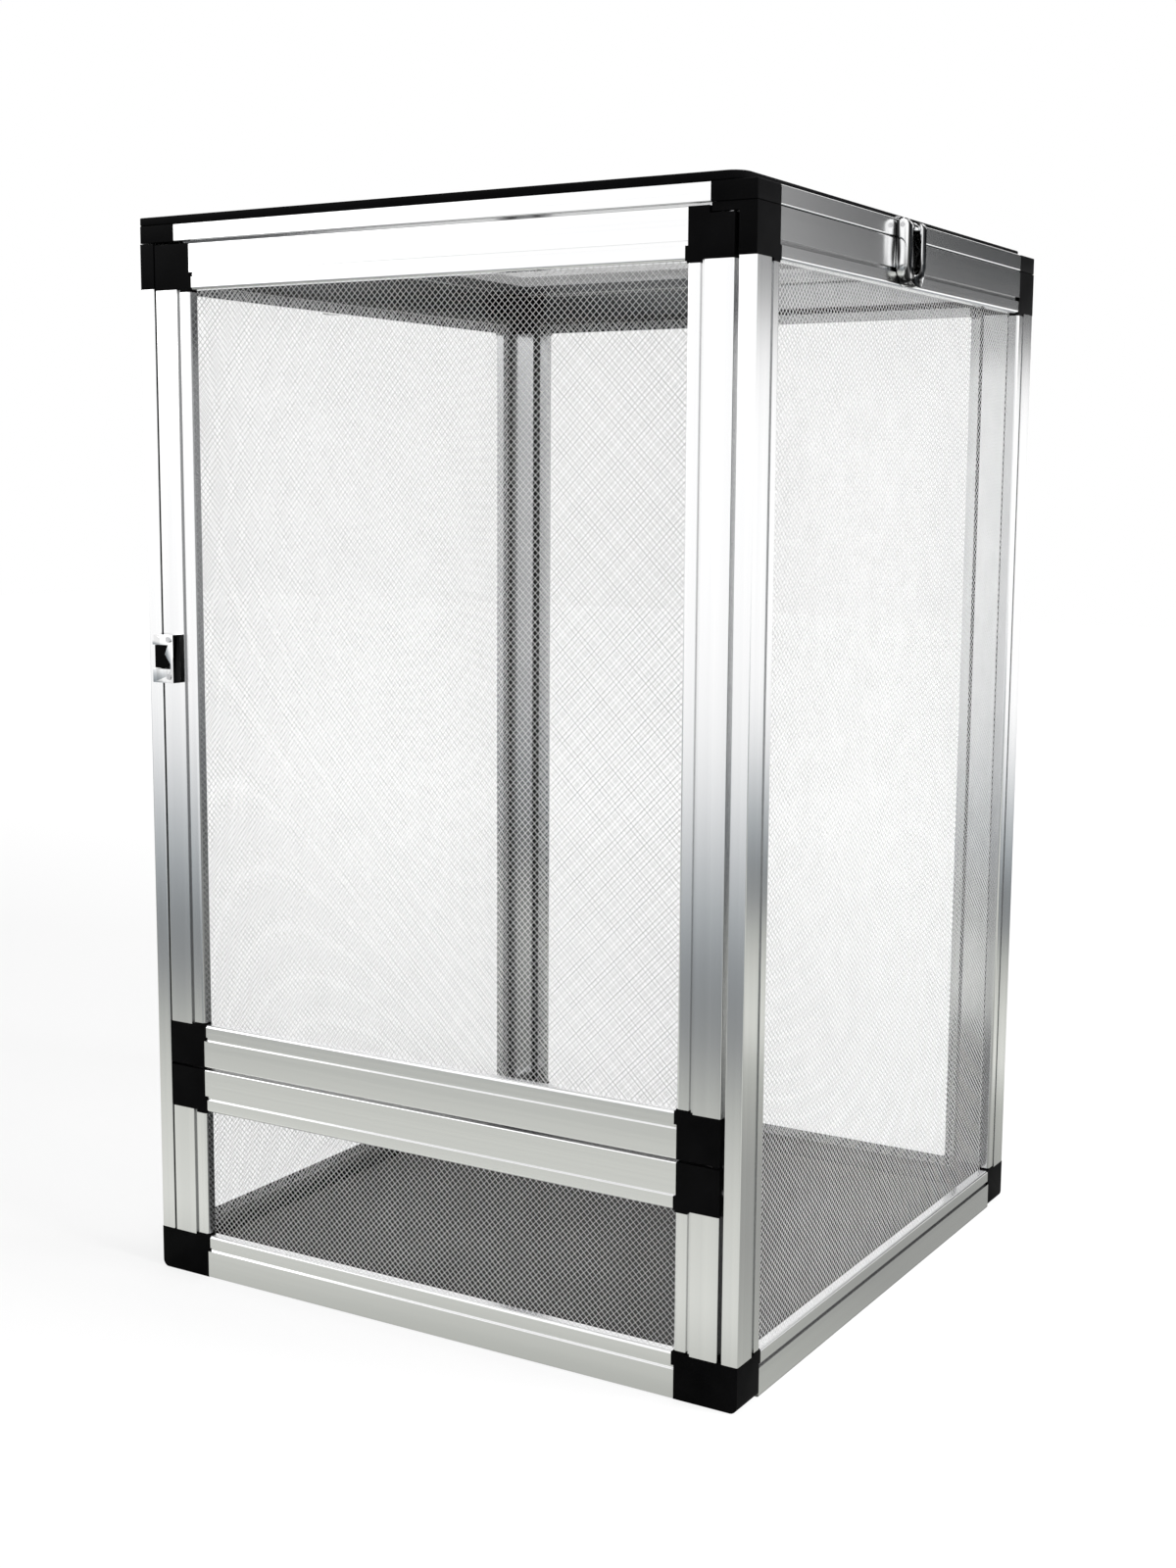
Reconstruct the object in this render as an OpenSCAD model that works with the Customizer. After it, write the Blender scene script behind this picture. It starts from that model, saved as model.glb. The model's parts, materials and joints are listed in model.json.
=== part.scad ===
/* [Cage] */
// Outside width over the two side panels
cage_w = 380; // [320:5:600]
// Outside depth from the front faces to the rear posts
cage_d = 380; // [320:5:600]
// Height of the side and back panels
side_h = 589; // [450:0.5:900]
// Height of the fixed panel below the door
lower_h = 124.5; // [100:0.5:200]
// How far the back panel stands in from the rear edges of the side panels
back_inset = 6.5; // [0:0.5:12]

/* [Frame profile] */
// Width of the hollow tube that the profile is built on
main_w = 15.5; // [13:0.5:22]
// Depth of the profile, from its outer face to its inner face
rail_d = 9.5; // [9:0.5:14]
// Wall thickness of the tube
wall = 1.2; // [0.8:0.1:1.6]
// Width of the line pressed into the outer face
groove_w = 2.4; // [1:0.1:3]
// Depth of that line
groove_d = 1.4; // [0.5:0.1:1.6]
// Width of the lip that frames the screen
lip_w = 7; // [6:0.5:10]
// Depth of the lip, which is how far the screen lies behind the outer face
lip_d = 6; // [6:0.5:8]
// Width of the channel that takes the screen's hem and its spline
channel_w = 3.6; // [3:0.1:4.5]
// Rounding of the tube's outer edges
edge_r = 0.8; // [0.4:0.1:1.5]
// Rounding of the lip's inner edge
lip_r = 1.6; // [0.8:0.1:2.2]

/* [Corner fittings] */
// Length of a fitting along the tube zone of each rail
fit_main = 24.5; // [22:0.5:26]
// How much further a fitting reaches along each lip
fit_ear = 1.5; // [0.5:0.1:3]
// Length of the plug that a fitting drives into each tube
plug_l = 24; // [12:1:36]
// Gap between a plug and the inside of its tube, on each side
plug_fit = 0.1; // [0.05:0.05:0.25]
// Rounding of the lower outer edges of the base corners
base_r = 4; // [1:0.5:5]
// Thickness of the ledge inside each base corner
ledge_t = 5; // [3:0.5:8]
// Length of that ledge along each side
ledge_l = 24; // [15:1:40]

/* [Screens] */
// Thickness of a screen sheet
screen_t = 0.4; // [0.3:0.1:0.8]
// Depth to which a screen's hem is tucked into the channel
hem_d = 3; // [2:0.1:3.2]
// Gap between a spline and the screen's hem or the channel, on each side
spline_fit = 0.1; // [0.05:0.05:0.3]
// How far a spline stands out of its channel
spline_proud = 0.2; // [0:0.1:0.6]

/* [Gaps between panels] */
// Gap between the door and the left post
latch_gap = 1; // [0.6:0.1:2]
// Gap between the door and the right post
hinge_gap = 2.2; // [1.8:0.1:4]
// Gap between the door and the panel below it
door_gap = 1.5; // [1:0.1:3]
// Gap above the door
head_gap = 1; // [0.8:0.1:2]
// Gap between the back panel and each side panel
panel_gap = 0.2; // [0.1:0.1:0.4]
// Gap under the lid, on the side panels
lid_gap = 0.3; // [0.1:0.1:0.3]

/* [Lid rim] */
// Thickness of the black rim on the lid
rim_t = 4.4; // [3:0.1:8]
// How far the rim stands in from the lid's side edges
rim_in = 8; // [6:0.5:10]
// Width of the rim's front and rear strips
rim_w = 14; // [10:0.5:20]
// Width of the rim's side strips
rim_side_w = 7; // [5:0.5:12]
// Rounding of the rim's right corners
rim_r = 9; // [3:0.5:12]

/* [Door pivots] */
// Radius of a pivot pin
pivot_r = 1.5; // [1:0.1:1.7]
// Distance from the door's right edge to the pivot axis
pivot_x = 2.6; // [2.4:0.1:4]
// Distance from the door's outer face to the pivot axis
pivot_y = 3; // [2.8:0.1:4]
// Length of a pin inside the door
pivot_in = 9; // [6:0.5:14]
// Thickness of the tab that holds the upper pin
tab_t = 4; // [3:0.5:6]
// Length of the tab over the door, beyond the pivot axis
tab_l = 9.5; // [6:0.5:12]
// Turning clearance around a pin
turn_fit = 0.05; // [0.02:0.01:0.1]
// Gap between the tab and the notch in the door's fitting
tab_gap = 0.6; // [0.4:0.1:1]

/* [Door latch] */
// Height of the latch's middle above the base
latch_z = 361; // [220:1:500]
// Height of the latch housing
latch_h = 27; // [22:1:40]
// Width of the latch housing
latch_w = 15; // [13:0.5:20]
// How far the housing stands out from the door
latch_proud = 6; // [5:0.5:8]
// How far the housing reaches over the left post
latch_over = 1.6; // [1.2:0.1:3]
// Gap between the housing and the post behind it
latch_stop = 0.3; // [0.2:0.1:0.3]
// Travel of the bolt
bolt_travel = 5; // [3:0.5:5]
// Height of the bolt's tongue
tongue_h = 6; // [4:0.5:8]
// Depth of the bolt's tongue
tongue_d = 4.4; // [3:0.1:4.6]
// Running gap around the bolt
bolt_fit = 0.3; // [0.2:0.05:0.4]
// Radius of a latch rivet's head
latch_rivet_r = 1.6; // [1:0.1:2]

/* [Lid clips] */
// Distance from the cage's middle to the clips' middle, towards the front
clip_front = 11; // [0:1:60]
// Width of a clip
clip_w = 26; // [24:0.5:36]
// Width of the raised rim around a clip
clip_rim_w = 6.6; // [4:0.1:8]
// Half the depth of that rim
rib_r = 3.1; // [2.8:0.1:4]
// How far a clip's lower edge flares out for the finger
clip_flare = 1.6; // [0.5:0.1:3]
// Height of the clip's pin above the lid's lower face
clip_pin_z = 6; // [5:0.5:7]
// Distance from the clip's pin down to the middle of its lower bend
clip_l = 18.5; // [12:0.5:22]
// Radius of the clip's pin
clip_pin_r = 1.2; // [0.8:0.1:1.6]
// Thickness of the sheet that the clip and its bracket are made of
clip_t = 1.2; // [0.8:0.1:1.6]
// Clearance between a clip and the panels behind it
clip_gap = 0.3; // [0.2:0.05:0.4]
// Radius of a clip rivet's head
clip_rivet_r = 2; // [1.4:0.1:2.4]

/* [Floor] */
// Thickness of the floor board
floor_t = 3; // [2:0.5:6]
// Gap around the floor board
floor_gap = 0.5; // [0.3:0.1:1]

/* [Dowels] */
// Radius of a dowel
dowel_r = 2; // [1.5:0.1:2.5]
// Length of a dowel
dowel_l = 14; // [11:1:18]
// Gap between a dowel and its hole
dowel_fit = 0.05; // [0.02:0.01:0.1]

/* [Hidden] */

aluminium = [0.84, 0.85, 0.87];
black_plastic = [0.06, 0.06, 0.065];
mesh_grey = [0.7, 0.71, 0.72];
rubber_black = [0.1, 0.1, 0.1];
chrome = [0.9, 0.9, 0.92];
steel = [0.7, 0.7, 0.72];
board_grey = [0.2, 0.2, 0.21];

// Small overshoot of a cutting shape, and the number of sides of curves
over = 0.5;
fine = 32;

// Rivets of the latch and the clip brackets
rivet_shank_r = 0.8;
rivet_head_t = 0.7;

// Gap at the blind end of a pin's hole
end_gap = 0.5;

// Face width of the profile, and the places of its parts across it
rail_w = main_w + groove_w + lip_w;
lip_u = main_w + groove_w;
channel_u = main_w + channel_w;
channel_floor = groove_d + wall;
fit_lip = max(fit_main + fit_ear, rail_w);

// Planes of the cage; the origin is under the middle of everything, with the latch in front
latch_out = latch_proud + rivet_head_t;
y_front = (latch_out - cage_d) / 2;
y_back = (latch_out + cage_d) / 2;
x_side = cage_w / 2;
x_in = x_side - rail_d;
back_face = y_back - back_inset;
back_in = back_face - rail_d;

// Door and lower panel
door_x0 = latch_gap - x_in;
door_x1 = x_in - hinge_gap;
door_w = door_x1 - door_x0;
door_z = lower_h + door_gap;
door_h = side_h - head_gap - door_z;
back_w = 2 * (x_in - panel_gap);
lid_z = side_h + lid_gap;
lid_top = lid_z + rail_d;

// Pivot axis and the tab over the door's upper right fitting
pivot = [door_x1 - pivot_x, y_front + pivot_y];
tab_z = side_h - tab_t;
notch_z = tab_z - tab_gap;

// Washer that carries the door on the fitting below it
washer_r = pivot_x - 2 * turn_fit;
washer_t = door_gap - 0.15;

// Latch housing, its window and the web at the window's closed end
latch_x0 = -x_in - latch_over;
latch_x1 = latch_x0 + latch_w;
latch_y0 = y_front - latch_proud;
window_rise = 1;
window_h = latch_h / 2;
window_z = latch_z - window_h / 2 + window_rise;
web_w = 2;

// Pointed stop over the bolt: its thickness, reach and the heights of its tip and lower root
nub_t = 1.2;
nub_reach = 4;
nub_root = 1.6;
nub_tip_z = 0.62 * window_h;
nub_low_z = window_h / 6;

// Latch rivets: their distances from the housing's right, lower and upper edges
rivet_in = 3;
rivet_low = 3.5;
rivet_high = 2.6;
rivet_x = latch_x1 - rivet_in;
rivet_z = [latch_z - latch_h / 2 + rivet_low, latch_z + latch_h / 2 - rivet_high];

// Bolt: a thumb block behind the housing's face, a neck through the stile and a tongue inside it
block_sunk = 2;
block_w = latch_w - web_w - bolt_fit;
block_t = latch_proud - block_sunk;
tongue_y = y_front + (rail_d - tongue_d) / 2;
tongue_in = 0.2;
tongue_tip = door_x0 + tongue_in;
neck_w = 2.5;
neck_in = 1.5;
neck_x = latch_x1 - web_w - neck_w - neck_in;

// Lid clips
clip_y = -clip_front;
clip_x = x_side + clip_gap + rib_r;
clip_pin_h = lid_z + clip_pin_z;
knuckle_l = clip_w - 2 * clip_rim_w - 2 * clip_gap;
knuckle_r = clip_pin_r + clip_t;
bracket_gap = 0.5;
clip_rivet_x = x_side - rim_in / 2;
clip_rivet_y = knuckle_l / 3.6;

// Heights of the dowels
dowel_low_z = lower_h - pivot_in - 2 * dowel_r;
dowel_high_z = side_h - main_w / 2;
dowel_back_y = back_in + rail_d / 2;
dowel_front_y = y_front + rail_d / 2;

// Edges of the floor board
floor_x = x_in - floor_gap;
floor_y0 = y_front + rail_d + floor_gap;
floor_y1 = back_in - floor_gap;

// A square corner minus a quarter disc, to round an edge with its corner at the origin
module round_cut(r) {
    difference() {
        translate([-over, -over]) square(r + over);
        translate([r, r]) circle(r = r, $fn = fine);
    }
}

// Cross-section of the frame profile: x runs from the outer edge to the lip, y from the face inwards
module profile() {
    difference() {
        union() {
            square([rail_w, lip_d]);
            square([main_w, rail_d]);
        }
        translate([wall, wall]) square([main_w - 2 * wall, rail_d - 2 * wall]);
        translate([channel_u + wall, wall]) square([rail_w - channel_u - 2 * wall, lip_d - 2 * wall]);
        translate([main_w, -over]) square([groove_w, groove_d + over]);
        translate([main_w, channel_floor]) square([channel_w, rail_d]);
        round_cut(edge_r);
        translate([0, rail_d]) mirror([0, 1]) round_cut(edge_r);
        translate([rail_w, 0]) mirror([1, 0]) round_cut(lip_r);
    }
}

// A rail along X, cut to fit between two corner fittings of a panel side of the given length
module rail(length) {
    color(aluminium) difference() {
        translate([fit_main, 0, 0])
            rotate([90, 0, 90]) linear_extrude(length - 2 * fit_main) profile();
        for (x = [fit_main - over, length - fit_lip])
            translate([x, lip_u, -over]) cube([fit_lip - fit_main + over, lip_w + over, rail_d + 2 * over]);
    }
}

// Places a panel's children: the panel lies in XY with its outer face at Z 0
module bottom_of(w, h) { children(); }
module top_of(w, h) { translate([0, h, 0]) mirror([0, 1, 0]) children(); }
module left_of(w, h) { mirror([1, -1, 0]) children(); }
module right_of(w, h) { translate([w, 0, 0]) mirror([1, 0, 0]) mirror([1, -1, 0]) children(); }

// Panel frames of reference in the cage
module on_left() { translate([-x_side, y_front, 0]) rotate([90, 0, 90]) children(); }
module on_right() { mirror([1, 0, 0]) on_left() children(); }
module on_back() { translate([-back_w / 2, back_face, 0]) rotate([90, 0, 0]) children(); }
module on_lower() { translate([door_x0, y_front, 0]) mirror([0, 1, 0]) rotate([90, 0, 0]) children(); }
module on_door() { translate([0, 0, door_z]) on_lower() children(); }
module on_lid() { translate([-x_side, y_front, lid_z]) children(); }

// Outline of a corner fitting on the panel's face, with an ear beside each lip
module fitting_outline() {
    difference() {
        union() {
            square([fit_lip, rail_w]);
            square([rail_w, fit_lip]);
        }
        for (turn = [0, 1])
            mirror([turn, -turn]) translate([fit_main, -over]) square([fit_lip, lip_u + over]);
    }
}

// The part of that outline that is as deep as the tube
module fitting_deep_outline() {
    polygon([
        [0, 0], [fit_main, 0], [fit_main, main_w], [main_w, main_w], [main_w, fit_main], [0, fit_main]
    ]);
}

// A plug along X that fills a tube
module plug() {
    gap = wall + plug_fit;
    translate([fit_main - over, gap, gap]) cube([plug_l + over, main_w - 2 * gap, rail_d - 2 * gap]);
}

// A corner fitting with its corner at the origin and two plugs
module fitting() {
    difference() {
        union() {
            linear_extrude(lip_d) fitting_outline();
            linear_extrude(rail_d) fitting_deep_outline();
        }
        for (turn = [0, 1])
            mirror([turn, -turn, 0]) translate([main_w, main_w, channel_floor])
                cube([channel_w, rail_w, rail_d]);
    }
    plug();
    mirror([1, -1, 0]) plug();
}

// All four corners of a panel
module four_corners(w, h) {
    for (x = [0, 1])
        for (y = [0, 1])
            translate([x * w, y * h, 0]) mirror([x, 0, 0]) mirror([0, y, 0]) children();
}

// The two upper corners of a panel
module upper_corners(w, h) {
    for (x = [0, 1])
        translate([x * w, h, 0]) mirror([x, 0, 0]) mirror([0, 1, 0]) children();
}

// A ring between two rectangles that stand in from the panel's edges by the given distances
module ring(w, h, outer, inner, height) {
    difference() {
        translate([outer, outer, 0]) cube([w - 2 * outer, h - 2 * outer, height]);
        translate([inner, inner, -over]) cube([w - 2 * inner, h - 2 * inner, height + 2 * over]);
    }
}

// A screen sheet on the lips of a panel, with its hem tucked into the channel
module screen(w, h) {
    hem_u = channel_u - screen_t;
    color(mesh_grey, 0.5) {
        translate([hem_u, hem_u, lip_d]) cube([w - 2 * hem_u, h - 2 * hem_u, screen_t]);
        translate([0, 0, lip_d - hem_d]) ring(w, h, hem_u, hem_u + screen_t, hem_d);
    }
}

// The rubber spline that holds a screen's hem in the channel
module spline(w, h) {
    outer = main_w + spline_fit;
    inner = channel_u - screen_t - spline_fit;
    low = channel_floor + spline_fit;
    color(rubber_black) translate([0, 0, low])
        ring(w, h, outer, inner, lip_d + spline_proud - low);
}

// Hole for a dowel across the cage at the given height and depth
module dowel_hole(y, z) {
    translate([0, y, z]) rotate([0, 90, 0])
        cylinder(r = dowel_r + dowel_fit, h = 2 * x_side, center = true, $fn = fine);
}

// The part of a child that lies beside the left inner face of the cage, as deep as a dowel reaches
module near_side(s) {
    intersection() {
        children();
        translate([s * (x_in + hinge_gap / 2), 0, 0])
            cube([dowel_l + dowel_fit, 2 * cage_d, 4 * side_h], center = true);
    }
}

module front_post() {
    difference() {
        on_left() left_of(cage_d, side_h) rail(side_h);
        near_side(-1) dowel_hole(dowel_front_y, dowel_low_z);
    }
}

// Slot in the left front post for the bolt's tongue
module bolt_mortise() {
    translate([-x_in - wall - over, tongue_y - bolt_fit, latch_z - tongue_h / 2 - bolt_fit])
        cube([wall + 2 * over, tongue_d + 2 * bolt_fit, tongue_h + 2 * bolt_fit]);
}

module left_front_post() {
    color(aluminium) difference() {
        front_post();
        bolt_mortise();
    }
}
module right_front_post() { color(aluminium) mirror([1, 0, 0]) front_post(); }
module left_rear_post() { on_left() right_of(cage_d, side_h) rail(side_h); }
module right_rear_post() { on_right() right_of(cage_d, side_h) rail(side_h); }
module left_top_rail() { on_left() top_of(cage_d, side_h) rail(cage_d); }
module right_top_rail() { on_right() top_of(cage_d, side_h) rail(cage_d); }
module left_bottom_rail() { on_left() bottom_of(cage_d, side_h) rail(cage_d); }
module right_bottom_rail() { on_right() bottom_of(cage_d, side_h) rail(cage_d); }

module back_left_stile() { on_back() left_of(back_w, side_h) rail(side_h); }
module back_right_stile() { on_back() right_of(back_w, side_h) rail(side_h); }
module back_top_rail() { on_back() top_of(back_w, side_h) rail(back_w); }
module back_bottom_rail() { on_back() bottom_of(back_w, side_h) rail(back_w); }

module lower_left_stile() { on_lower() left_of(door_w, lower_h) rail(lower_h); }
module lower_right_stile() { on_lower() right_of(door_w, lower_h) rail(lower_h); }
module lower_top_rail() { on_lower() top_of(door_w, lower_h) rail(door_w); }
module lower_bottom_rail() { on_lower() bottom_of(door_w, lower_h) rail(door_w); }

// Slots in the door's left stile: one in its face for the bolt's neck, one in its edge for the tongue
module bolt_slots() {
    translate([neck_x - bolt_travel - bolt_fit, y_front - over, latch_z - tongue_h / 2 - bolt_fit])
        cube([neck_w + bolt_travel + 2 * bolt_fit, wall + 2 * over, tongue_h + 2 * bolt_fit]);
    translate([door_x0 - over, tongue_y - bolt_fit, latch_z - tongue_h / 2 - bolt_fit])
        cube([wall + 2 * over, tongue_d + 2 * bolt_fit, tongue_h + 2 * bolt_fit]);
}

module door_left_stile() {
    color(aluminium) difference() {
        on_door() left_of(door_w, door_h) rail(door_h);
        bolt_slots();
        latch_rivet_holes();
    }
}
module door_right_stile() { on_door() right_of(door_w, door_h) rail(door_h); }
module door_top_rail() { on_door() top_of(door_w, door_h) rail(door_w); }
module door_bottom_rail() { on_door() bottom_of(door_w, door_h) rail(door_w); }

module lid_left_rail() { clip_rivet_cut() on_lid() left_of(cage_w, cage_d) rail(cage_d); }
module lid_right_rail() { clip_rivet_cut() on_lid() right_of(cage_w, cage_d) rail(cage_d); }
module lid_front_rail() { on_lid() bottom_of(cage_w, cage_d) rail(cage_w); }
module lid_rear_rail() { on_lid() top_of(cage_w, cage_d) rail(cage_w); }

// Rounding cutter along the lower outer edge of the left side
module base_edge_cut() {
    translate([-x_side, y_back + over, 0]) rotate([90, 0, 0])
        linear_extrude(cage_d + 2 * over) round_cut(base_r);
}

// Ledge in an inner corner; a smaller block roots it in the fittings on both sides
module ledge() {
    root = fit_main - rail_d - back_inset;
    cube([ledge_l, ledge_l, ledge_t]);
    translate([-over, -over, 0]) cube([root, root, ledge_t]);
}

// One base corner on the left: a side fitting, a fitting of the front or back panel and a ledge
module base_corner(front) {
    panel_x = front ? door_x0 : -back_w / 2;
    face_y = front ? y_front : back_in;
    inner_y = front ? y_front + rail_d : back_in;
    ledge_dir = front ? 0 : 1;
    difference() {
        union() {
            translate([0, front ? 0 : y_front + y_back, 0]) mirror([0, front ? 0 : 1, 0])
                on_left() fitting();
            translate([panel_x, front ? y_front : back_face, 0]) mirror([0, front ? 1 : 0, 0])
                rotate([90, 0, 0]) fitting();
            translate([-x_in - over, face_y, 0])
                cube([panel_x + x_in + 2 * over, rail_d, fit_main]);
            translate([-x_in, inner_y, 0]) mirror([0, ledge_dir, 0]) ledge();
        }
        base_edge_cut();
    }
}

// The right front base corner stands across a wider gap than the left one
module right_front_base() {
    difference() {
        union() {
            on_right() fitting();
            translate([door_x1, y_front, 0]) mirror([1, 0, 0]) mirror([0, 1, 0])
                rotate([90, 0, 0]) fitting();
            translate([door_x1 - over, y_front, 0])
                cube([x_in - door_x1 + 2 * over, rail_d, fit_main]);
            translate([x_in, y_front + rail_d, 0]) mirror([1, 0, 0]) ledge();
        }
        mirror([1, 0, 0]) base_edge_cut();
    }
}

module base_corners() {
    color(black_plastic) {
        base_corner(true);
        base_corner(false);
        mirror([1, 0, 0]) base_corner(false);
        right_front_base();
    }
}

// Tab on the right front post's fitting that holds the upper pivot pin over the door
module pivot_tab() {
    difference() {
        translate([pivot[0] - tab_l, y_front, tab_z])
            cube([x_in - pivot[0] + tab_l + over, rail_d, tab_t]);
        translate([pivot[0], pivot[1], tab_z - over])
            cylinder(r = pivot_r + turn_fit, h = tab_t + 2 * over, $fn = fine);
    }
}

module post_top_fittings() {
    color(black_plastic) difference() {
        union() {
            on_left() upper_corners(cage_d, side_h) fitting();
            on_right() upper_corners(cage_d, side_h) fitting();
            pivot_tab();
        }
        for (s = [-1, 1]) near_side(s) dowel_hole(dowel_back_y, dowel_high_z);
    }
}

module back_top_fittings() {
    color(black_plastic) difference() {
        on_back() upper_corners(back_w, side_h) fitting();
        for (s = [-1, 1]) near_side(s) dowel_hole(dowel_back_y, dowel_high_z);
    }
}

module lower_top_fittings() {
    color(black_plastic) difference() {
        on_lower() upper_corners(door_w, lower_h) fitting();
        for (s = [-1, 1]) near_side(s) dowel_hole(dowel_front_y, dowel_low_z);
        translate([pivot[0], pivot[1], lower_h - pivot_in])
            cylinder(r = pivot_r + turn_fit, h = pivot_in + over, $fn = fine);
    }
}

module door_fittings() {
    color(black_plastic) difference() {
        on_door() four_corners(door_w, door_h) fitting();
        translate([pivot[0], pivot[1], door_z - over])
            cylinder(r = pivot_r + turn_fit, h = pivot_in + over, $fn = fine);
        translate([pivot[0], pivot[1], notch_z - pivot_in])
            cylinder(r = pivot_r + turn_fit, h = pivot_in + tab_t, $fn = fine);
        translate([pivot[0] - tab_l - 2 * tab_gap, y_front - over, notch_z])
            cube([tab_l + 2 * pivot_x + over, rail_d + 2 * over, tab_t + head_gap + tab_gap]);
    }
}

module lid_fittings() { color(black_plastic) on_lid() four_corners(cage_w, cage_d) fitting(); }

module left_screen() { on_left() screen(cage_d, side_h); }
module right_screen() { on_right() screen(cage_d, side_h); }
module back_screen() { on_back() screen(back_w, side_h); }
module lower_screen() { on_lower() screen(door_w, lower_h); }
module door_screen() { on_door() screen(door_w, door_h); }
module lid_screen() { on_lid() screen(cage_w, cage_d); }

module left_spline() { on_left() spline(cage_d, side_h); }
module right_spline() { on_right() spline(cage_d, side_h); }
module back_spline() { on_back() spline(back_w, side_h); }
module lower_spline() { on_lower() spline(door_w, lower_h); }
module door_spline() { on_door() spline(door_w, door_h); }
module lid_spline() { on_lid() spline(cage_w, cage_d); }

// Black rim on the lid: front and rear strips reach the left edge, and the right corners are rounded
module lid_rim() {
    color(black_plastic) translate([0, 0, lid_top]) linear_extrude(rim_t) difference() {
        union() {
            for (y = [y_front, y_back - rim_w])
                translate([-x_side, y]) square([cage_w - rim_in, rim_w]);
            for (x = [-x_side + rim_in, x_side - rim_in - rim_side_w])
                translate([x, y_front + rim_w / 2]) square([rim_side_w, cage_d - rim_w]);
        }
        translate([x_side - rim_in, y_front]) mirror([1, 0]) round_cut(rim_r);
        translate([x_side - rim_in, y_back]) mirror([1, 0]) mirror([0, 1]) round_cut(rim_r);
    }
}

// Board that lies on the ledges of the base corners
module floor_board() {
    color(board_grey) translate([-floor_x, floor_y0, ledge_t])
        cube([2 * floor_x, floor_y1 - floor_y0, floor_t]);
}

module panel_dowels() {
    color(steel) for (s = [-1, 1]) {
        translate([s * (x_in + hinge_gap / 2), dowel_front_y, dowel_low_z]) rotate([0, 90, 0])
            cylinder(r = dowel_r, h = dowel_l, center = true, $fn = fine);
        translate([s * (x_in + hinge_gap / 2), dowel_back_y, dowel_high_z]) rotate([0, 90, 0])
            cylinder(r = dowel_r, h = dowel_l, center = true, $fn = fine);
    }
}

// Upper pin in the tab, lower pin in the fitting under the door
module door_pivot_pins() {
    color(steel) {
        translate([pivot[0], pivot[1], notch_z - pivot_in + end_gap])
            cylinder(r = pivot_r, h = tab_t + tab_gap + pivot_in - end_gap, $fn = fine);
        translate([pivot[0], pivot[1], lower_h - pivot_in + end_gap])
            cylinder(r = pivot_r, h = 2 * pivot_in + door_gap - 2 * end_gap, $fn = fine);
    }
}

module door_pivot_washer() {
    color(black_plastic) translate([pivot[0], pivot[1], lower_h]) difference() {
        cylinder(r = washer_r, h = washer_t, $fn = fine);
        translate([0, 0, -over]) cylinder(r = pivot_r + turn_fit, h = door_gap + over, $fn = fine);
    }
}

// Holes for the latch's rivets in the door's stile
module latch_rivet_holes() {
    for (z = rivet_z)
        translate([rivet_x, y_front - over, z]) rotate([-90, 0, 0])
            cylinder(r = rivet_shank_r + turn_fit, h = wall + 2 * over, $fn = fine);
}

// Bright housing, open to the left, with a pointed stop over the bolt
module latch_housing() {
    color(chrome) difference() {
        union() {
            difference() {
                translate([latch_x0, latch_y0, latch_z - latch_h / 2])
                    cube([latch_w, latch_proud, latch_h]);
                translate([latch_x0 - over, latch_y0 - over, window_z])
                    cube([latch_w - web_w + over, latch_proud + 2 * over, window_h]);
                translate([latch_x0 - over, y_front - latch_stop, latch_z - latch_h])
                    cube([latch_over + latch_gap + over, latch_proud, 2 * latch_h]);
            }
            translate([latch_x1 - web_w, latch_y0 + nub_t, window_z]) rotate([90, 0, 0])
                linear_extrude(nub_t)
                    polygon([
                        [over, nub_low_z], [over, window_h], [-nub_root, window_h], [-nub_reach, nub_tip_z]
                    ]);
        }
        for (z = rivet_z)
            translate([rivet_x, latch_y0 - over, z]) rotate([-90, 0, 0])
                cylinder(r = rivet_shank_r + turn_fit, h = latch_proud + 2 * over, $fn = fine);
    }
}

// Black bolt: thumb block in the window, neck through the stile's face, tongue inside the stile
module latch_bolt() {
    color(black_plastic) {
        translate([latch_x0, y_front - block_t - latch_stop, window_z + bolt_fit])
            cube([block_w, block_t, window_h - 2 * bolt_fit]);
        translate([neck_x, y_front - latch_stop - over, latch_z - tongue_h / 2])
            cube([neck_w, tongue_y - y_front + latch_stop + 2 * over, tongue_h]);
        translate([tongue_tip, tongue_y, latch_z - tongue_h / 2])
            cube([neck_x + neck_w - tongue_tip, tongue_d, tongue_h]);
    }
}

module latch_rivets() {
    color(steel) for (z = rivet_z)
        translate([rivet_x, latch_y0 - rivet_head_t, z]) rotate([-90, 0, 0]) {
            cylinder(r = latch_rivet_r, h = rivet_head_t, $fn = fine);
            cylinder(r = rivet_shank_r, h = rivet_head_t + latch_proud + wall, $fn = fine);
        }
}

// Slab with a round lower end, which stands out from the side of the cage
module clip_slab(r) {
    translate([0, 0, -clip_l]) rotate([0, 90, 0])
        cylinder(r = r, h = 2 * rib_r + clip_flare, $fn = 2 * fine);
    translate([0, -r, -clip_l]) cube([2 * rib_r + clip_flare, 2 * r, 2 * clip_l]);
}

// Round top and flared foot of a clip, seen along the cage's side
module clip_side() {
    rotate([90, 0, 0]) cylinder(r = rib_r, h = clip_w + 2 * over, center = true, $fn = fine);
    translate([0, clip_w / 2 + over, 0]) rotate([90, 0, 0]) linear_extrude(clip_w + 2 * over)
        polygon([
            [-rib_r, 0], [rib_r, 0], [rib_r, -clip_l - clip_w / 3],
            [rib_r + clip_flare, -clip_l - clip_w / 2], [rib_r + clip_flare, -clip_l - clip_w],
            [-rib_r, -clip_l - clip_w]
        ]);
}

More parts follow.
